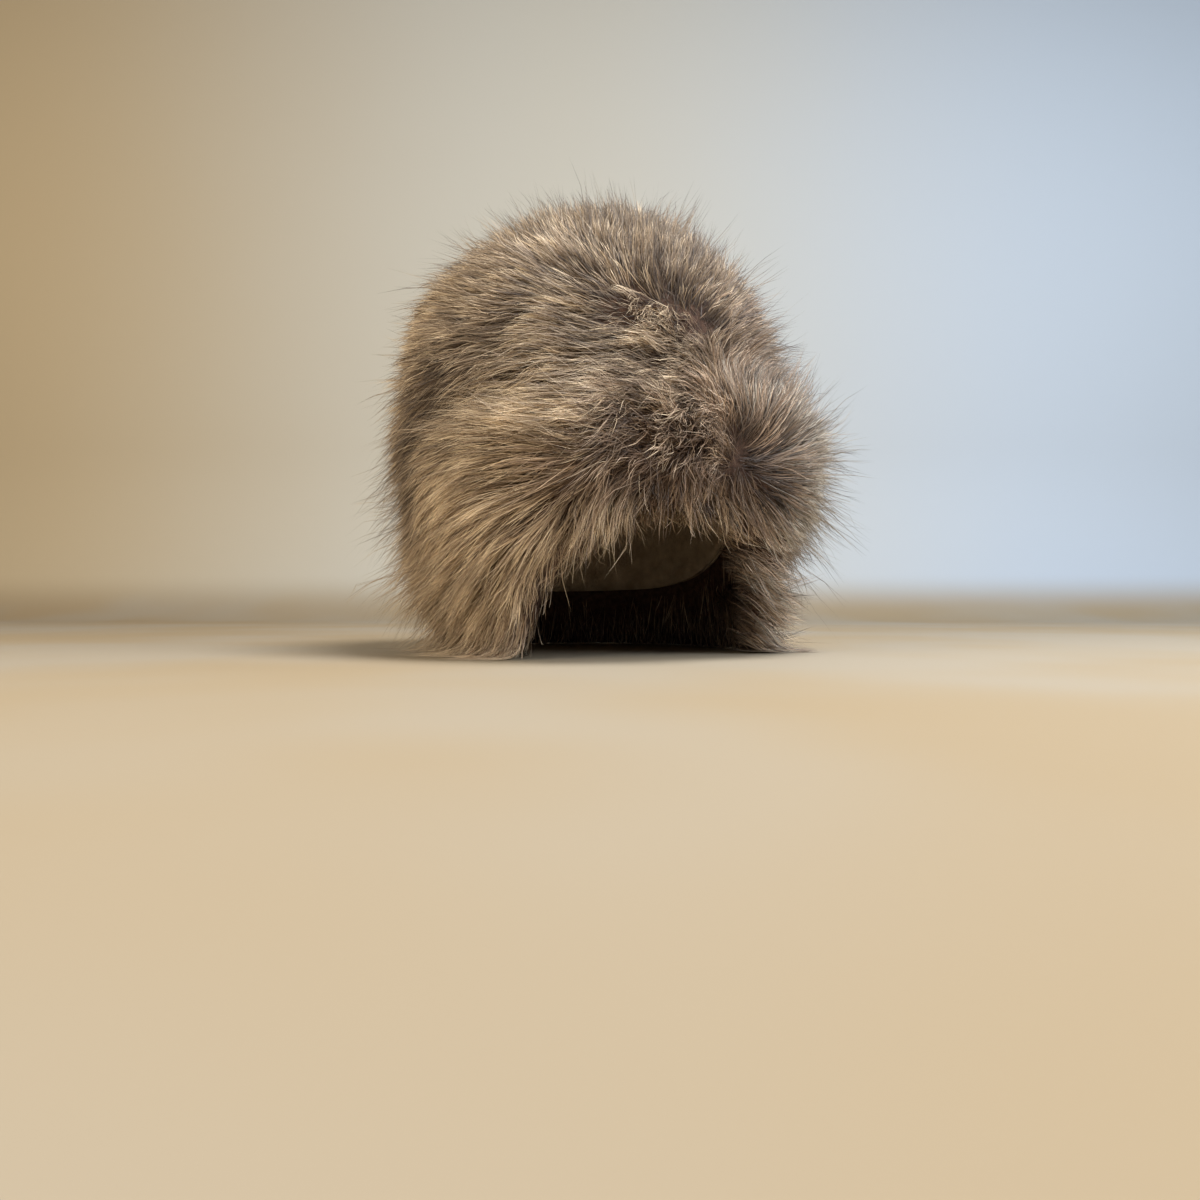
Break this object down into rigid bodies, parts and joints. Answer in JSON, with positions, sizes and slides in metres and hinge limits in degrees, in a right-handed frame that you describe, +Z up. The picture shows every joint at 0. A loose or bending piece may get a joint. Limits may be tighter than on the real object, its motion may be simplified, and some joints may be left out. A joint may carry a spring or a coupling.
{
  "type": "fur hat",
  "caption": "Rounded brimmed hat of deep natural fur: a domed crown over a skin shell, with a longer-haired brim that hangs at the sides and back and arches over the face.",
  "frame": {"origin": "middle of the hat's outline seen from above, on the plane that it stands on", "axes": "+Z up through the crown; -Y towards the face opening; +X towards the wearer's left"},
  "size_m": [0.3094, 0.3196, 0.311],
  "materials": {
    "shell_skin": "plain suede side of the pelt",
    "band_skin": "plain suede side of the pelt",
    "crown_fur": "deep fur, tan and grey-brown hair with dark tips",
    "brim_fur": "long silky fur, cream and tan hair with dark roots and tips"
  },
  "bodies": {
    "root": {"crown_shell": "shell_skin", "brim_band": "band_skin", "crown_fur": "crown_fur", "brim_fur": "brim_fur"}
  },
  "joints": []
}
